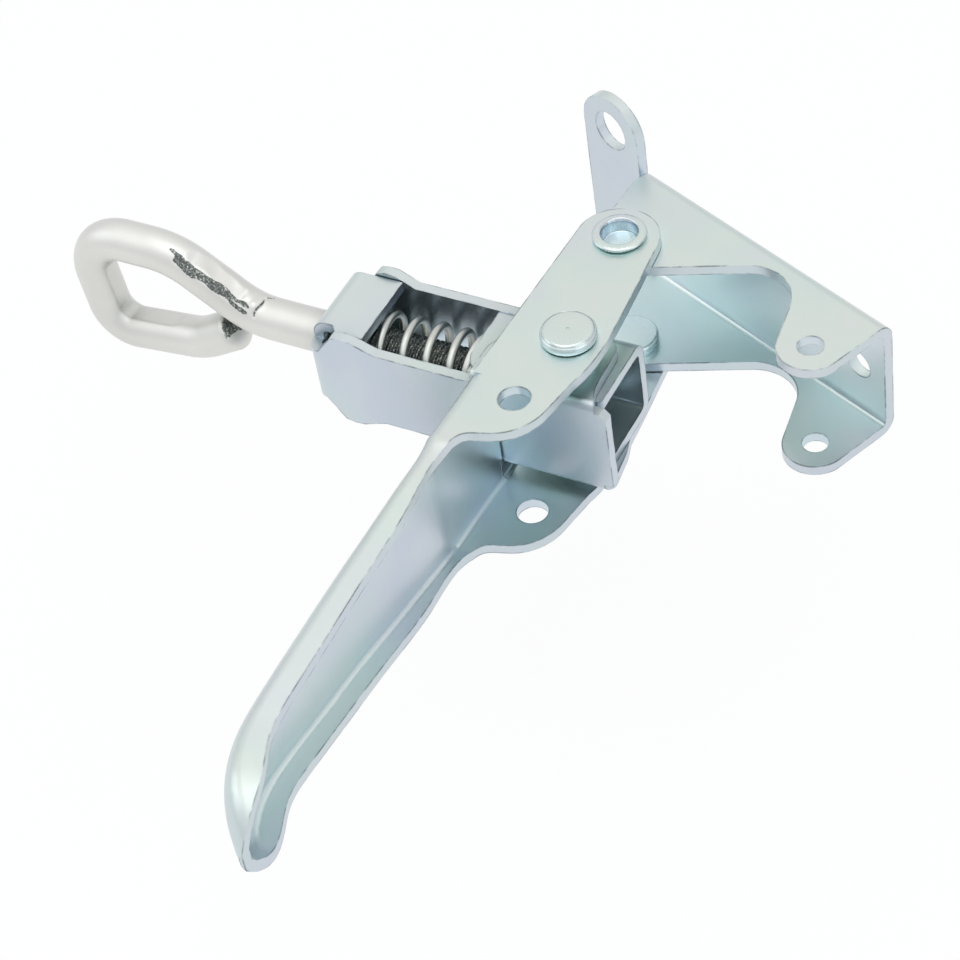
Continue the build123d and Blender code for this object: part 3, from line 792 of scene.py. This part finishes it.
def burr_marks(along_mm, around):
    """The torn burr where the throat meets the shank: its height in millimetres and its wear. The
    lump is a bell over length and angle; a curved groove lies before it, a slanting tail runs from
    that towards the thread, and a short stripe lies behind the lump."""
    beside = along_mm - BURR_PLACE
    off = angle_from(around, BURR_ANGLE)
    lump = np.exp(-((beside / LUMP_LENGTH) ** 2) - (off / LUMP_WIDTH) ** 2)
    curve = beside + GROOVE_AHEAD + GROOVE_LEAN * off + GROOVE_WAVE * np.sin(GROOVE_RATE * off)
    groove = stripe(curve, GROOVE_LENGTH)
    groove = groove * np.clip((GROOVE_HALF - np.abs(off)) / GROOVE_FADE, 0.0, 1.0)
    tail = smooth_window(beside, *TAIL_RUN) * stripe(off - TAIL_OFF + TAIL_SLANT * beside, MARK_HALF)
    behind = smooth_window(beside, *BEHIND_RUN) * stripe(off - BEHIND_OFF, MARK_HALF)
    height = LUMP_HEIGHT * lump - GROOVE_DEPTH * groove - MARK_DEPTH * (tail + behind)
    return height, np.maximum.reduce([GROOVE_WEAR * groove, TAIL_WEAR * tail, BEHIND_WEAR * behind])


def cut_end_wear(to_end_mm, around):
    """The dark sawn end of the rod, on the side that lies against the shank."""
    near = np.clip((CUT_END - to_end_mm) / CUT_END_FADE, 0.0, 1.0)
    inner = np.clip((0.05 - np.sin(around)) / 0.3, 0.0, 1.0)
    return CUT_END_WEAR * near * inner


def end_rounding(length, total):
    """The share of the radius left at each length: domed at the free end, chamfered at the thread."""
    end = np.clip((length - total + DOME) / DOME, 0.0, 1.0)
    start = np.clip(length / CHAMFER, 0.0, 1.0)
    dome = np.sqrt(np.clip(1.0 - end**2, 0.0, 1.0))
    return dome * (CHAMFER_SHARE + (1.0 - CHAMFER_SHARE) * start)


def bend_arc(web, cheek, radius):
    """A quarter circle from a cheek's face round to a web's face, as points of the section."""
    turn = np.linspace(0.0, pi / 2, BEND_POINTS)
    across = web + radius * (1.0 - np.sin(turn))
    return np.stack([across, cheek - radius * (1.0 - np.cos(turn))], axis=-1)


def web_corner_rings():
    """The root of the lever's bend beside the housing: an L section with round corners, run straight
    along the lever, whose free edge goes round the housing's bend in an arc."""
    inner = bend_arc(WEB_FRONT, LEVER_IN, WEB_BEND_IN)
    outer = bend_arc(WEB_BACK, LEVER_OUT, WEB_BEND)
    free_edge = [(WEB_FRONT, 0.0), (WEB_BACK, 0.0)]
    section = np.concatenate([inner, free_edge, outer[::-1]])
    stations = np.array(CORNER_STATIONS)
    outline = np.repeat(section[None], len(stations), axis=0)
    reach = np.clip(stations - HOUSING_BEND_X, 0.0, HOUSING_BEND_CLEAR)
    edges = HOUSING_BEND_Z + np.sqrt(HOUSING_BEND_CLEAR**2 - reach**2)
    outline[:, BEND_POINTS : BEND_POINTS + len(free_edge), 1] = edges[:, None]
    shares = np.ones(len(stations))
    shares[[0, -1]] = 0.0
    shares[1] = CORNER_CHAMFER
    middle = outline.mean(axis=1, keepdims=True)
    outline = middle + shares[:, None, None] * (outline - middle)
    along = np.broadcast_to(stations[:, None, None], (*outline.shape[:2], 1))
    return np.concatenate([along, outline], axis=2)


def lever_to_frame(points):
    """Points of the lever's own frame, in millimetres, put where they are on the open fastener."""
    along, out, height = (points[..., axis] * MM for axis in range(3))
    x = LEVER_CENTRE[0] + along * cos(LEVER_TURN) - out * sin(LEVER_TURN)
    y = LEVER_CENTRE[1] + along * sin(LEVER_TURN) + out * cos(LEVER_TURN)
    return np.stack([x, y, height], axis=-1)


def head_rings(side):
    """A rivet head on one side: its profile of radius and height turned about the housing's pivot."""
    around = np.linspace(0.0, 2.0 * pi, HEAD_COLUMNS, endpoint=False)[None, :]
    profile = np.array([*HEAD_CROWN, *HEAD_GROOVES, *HEAD_SIDE])[:, :, None] * MM
    radius, height = profile[:, 0], profile[:, 1]
    x = HOUSING_CENTRE[0] + radius * np.cos(around)
    y = HOUSING_CENTRE[1] + radius * np.sin(around)
    z = side * (HEAD_FOOT * MM + height) * np.ones_like(around)
    return np.stack([x, y, z], axis=-1)


class HASP_OT_sheets(bpy.types.Operator):
    """Dress the bracket, the lever and the spring housing, and fill the lever's web corners"""

    bl_idname = "hasp.sheets"
    bl_label = "Folded sheets"

    def execute(self, context):
        values = context.scene.hasp_sheet
        for node, turn, shaded in [
            ("mounting_bracket", 0.0, False),
            ("handle_lever", LEVER_TURN, False),
            ("spring_housing", HOUSING_TURN, True),
        ]:
            material = zinc_sheet("zinc_" + node, values, (0.0, 0.0, -turn), shaded=shaded)
            dress(node, material, values.edge)
        rings = web_corner_rings()
        for side, name in [(1.0, "lever_corner_upper"), (-1.0, "lever_corner_lower")]:
            corner = ring_piece(name, lever_to_frame(rings * (1.0, 1.0, side)), {})
            corner.data.set_sharp_from_angle(angle=CREASE_ANGLE)
            fit_to("handle_lever", corner, bpy.data.materials["zinc_handle_lever"])
        return {"FINISHED"}


class HASP_OT_rivets(bpy.types.Operator):
    """Dress the four rivets, and cap the housing's two with their grooved heads"""

    bl_idname = "hasp.rivets"
    bl_label = "Rivets"

    def execute(self, context):
        values = context.scene.hasp_sheet
        material = zinc_sheet("zinc_rivets", values, (0.0, 0.0, 0.0), RIVET_GLOSS)
        for pivot in ("handle", "housing"):
            for side in ("upper", "lower"):
                node = f"{pivot}_pivot_rivet_{side}"
                dress(node, material, values.edge, RIVET_EDGE_ANGLE)
        for side, node in [(1.0, "housing_pivot_rivet_upper"), (-1.0, "housing_pivot_rivet_lower")]:
            head = ring_piece(node + "_head", head_rings(side), {})
            head.data.set_sharp_from_angle(angle=HEAD_CREASE)
            fit_to(node, head, material)
        return {"FINISHED"}


class HASP_OT_bolt(bpy.types.Operator):
    """Dress the eye bolt, its nut and the spring seat"""

    bl_idname = "hasp.bolt"
    bl_label = "Eye bolt and nut"

    def execute(self, context):
        values = context.scene.hasp_rod
        colour = tuple(values.colour)
        plain = zinc_rod("zinc_rod", colour, values.roughness)
        worn = zinc_rod("zinc_eye_bolt", colour, values.roughness, "wear")
        for node in ("adjusting_nut", "spring_seat"):
            dress(node, plain, context.scene.hasp_sheet.edge)
        rings, wear = eye_bolt_rings(values.radius, values.pitch, values.thread_depth)
        bolt = ring_piece("eye_bolt_finish", rings, {"wear": wear})
        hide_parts("eye_bolt")
        fit_to("eye_bolt", bolt, worn)
        return {"FINISHED"}


class HASP_OT_spring(bpy.types.Operator):
    """Dress the compression spring, which keeps its shape and place; the seat pushes the real one
    shorter as the bolt slides out
    """

    bl_idname = "hasp.spring"
    bl_label = "Spring"

    def execute(self, context):
        colour = tuple(context.scene.hasp_spring.colour)
        material = zinc_rod("spring_wire", colour, WIRE_ROUGHNESS)
        edge = context.scene.hasp_sheet.edge * WIRE_EDGE_SHARE
        spring = stand_in("compression_spring", material, edge)
        inner, outer = (housing_to_frame(reach * MM, 0.0, 0.0).tolist() for reach in SPRING_ENDS)
        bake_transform(spring)
        return {"FINISHED"}


def area_lamp(name, place, aim, size, power, colour):
    """A soft square lamp that points at a place."""
    data = bpy.data.lights.new(name, "AREA")
    data.shape = "SQUARE"
    data.size = size
    data.energy = power
    data.color = colour
    lamp = add_object(name, data)
    lamp.location = place
    lamp.rotation_euler = (aim - place).to_track_quat("-Z", "Y").to_euler()


def floor_paint():
    """Pale paint that shows white to the camera and in the plating, apart from a light shadow."""
    material = bpy.data.materials.new("floor_paint")
    material.use_nodes = True
    tree = Tree(material.node_tree)
    paint = tree.add("ShaderNodeBsdfDiffuse", {"Color": (*FLOOR_TINT, 1.0)})
    glow = tree.add("ShaderNodeEmission", {"Color": (*WHITE, 1.0)})
    rays = tree.add("ShaderNodeLightPath").outputs
    seen = tree.maths("MAXIMUM", rays["Is Camera Ray"], rays["Is Glossy Ray"])
    share = tree.maths("MULTIPLY", seen, FLOOR_GLOW)
    tree.shown("ShaderNodeOutputMaterial", share, paint, glow)
    return material


class HASP_OT_stage(bpy.types.Operator):
    """Set the camera, the lamps, the world and the pale floor"""

    bl_idname = "hasp.stage"
    bl_label = "Stage"

    def execute(self, context):
        values = context.scene.hasp_stage
        low, high = (Vector(corner) for corner in CAD_BOX)
        middle = (low + high) / 2
        self.camera(context, values)
        self.floor(low.z - values.floor_drop)
        for name, offset, size, power, colour in LAMPS:
            area_lamp(name, middle + Vector(offset), middle, size, power, colour)
        self.world(context)
        context.scene.view_settings.view_transform = "Standard"
        return {"FINISHED"}

    def camera(self, context, values):
        """Stands the camera where the photograph was taken from."""
        level = cos(values.elevation)
        ahead = (-sin(values.azimuth) * level, cos(values.azimuth) * level, -sin(values.elevation))
        look = Vector(ahead)
        right = look.cross(Vector((0.0, 0.0, 1.0))).normalized()
        up = right.cross(look)
        leaned_up = up * cos(values.roll) + right * sin(values.roll)
        leaned_right = right * cos(values.roll) - up * sin(values.roll)
        data = bpy.data.cameras.new("photo_camera")
        data.lens = values.lens
        data.sensor_width = LENS_SENSOR
        data.clip_start = 0.01
        data.clip_end = 20.0
        camera = add_object("photo_camera", data)
        turn = Matrix((leaned_right, leaned_up, -look)).transposed()
        camera.matrix_world = Matrix.Translation(values.place) @ turn.to_4x4()
        context.scene.camera = camera

    def floor(self, height):
        """Lays a wide pale floor under the object."""
        sides = [(-1, -1), (1, -1), (1, 1), (-1, 1)]
        corners = [(x * FLOOR_REACH, y * FLOOR_REACH, height) for x, y in sides]
        mesh = bpy.data.meshes.new("floor")
        mesh.from_pydata(corners, [], [(0, 1, 2, 3)])
        mesh.materials.append(floor_paint())
        add_object("floor", mesh)

    def world(self, context):
        """A pale even surround, a little darker low down, white where the camera sees it."""
        world = bpy.data.worlds.new("studio")
        context.scene.world = world
        world.use_nodes = True
        tree = Tree(world.node_tree)
        split = tree.add("ShaderNodeSeparateXYZ")
        tree.join(tree.add("ShaderNodeTexCoord"), "Generated", split, "Vector")
        rise = tree.between(split.outputs["Z"], *SKY_HEIGHTS)
        surround = tree.add("ShaderNodeBackground")
        tree.feed(tree.ramp(rise, [(0.0, SKY_LOW), (1.0, WHITE)]), surround.inputs["Color"])
        white = tree.add("ShaderNodeBackground", {"Color": (*WHITE, 1.0)})
        seen = tree.add("ShaderNodeLightPath").outputs["Is Camera Ray"]
        tree.shown("ShaderNodeOutputWorld", seen, surround, white)


class HASP_PT_panel(bpy.types.Panel):
    """The fastener's sizes, colours and steps"""

    bl_idname = "HASP_PT_panel"
    bl_label = "Trailer spring hasp"
    bl_space_type = "VIEW_3D"
    bl_region_type = "UI"
    bl_category = "Hasp"

    def draw(self, context):
        layout = self.layout
        scene = context.scene
        for group, operators in [
            (scene.hasp_sheet, (HASP_OT_sheets, HASP_OT_rivets)),
            (scene.hasp_rod, (HASP_OT_bolt,)),
            (scene.hasp_spring, (HASP_OT_spring,)),
            (scene.hasp_stage, (HASP_OT_stage,)),
        ]:
            box = layout.box()
            for prop in group.bl_rna.properties:
                if prop.identifier not in {"rna_type", "name"}:
                    box.prop(group, prop.identifier)
            for operator in operators:
                box.operator(operator.bl_idname)


GROUPS = {
    "hasp_sheet": SheetSettings,
    "hasp_rod": RodSettings,
    "hasp_spring": SpringSettings,
    "hasp_stage": StageSettings,
}
CLASSES = (
    *GROUPS.values(),
    HASP_OT_sheets,
    HASP_OT_rivets,
    HASP_OT_bolt,
    HASP_OT_spring,
    HASP_OT_stage,
    HASP_PT_panel,
)


def register():
    """Registers the classes and hangs the settings on the scene."""
    for entry in CLASSES:
        bpy.utils.register_class(entry)
    for name, group in GROUPS.items():
        setattr(bpy.types.Scene, name, bpy.props.PointerProperty(type=group))


def unregister():
    """Takes the settings and the classes away again."""
    for name in GROUPS:
        delattr(bpy.types.Scene, name)
    for entry in reversed(CLASSES):
        bpy.utils.unregister_class(entry)


def main():
    """Runs every step in order."""
    register()
    bpy.ops.hasp.sheets()
    bpy.ops.hasp.rivets()
    bpy.ops.hasp.bolt()
    bpy.ops.hasp.spring()
    bpy.ops.hasp.stage()


if __name__ == "__main__":
    main()
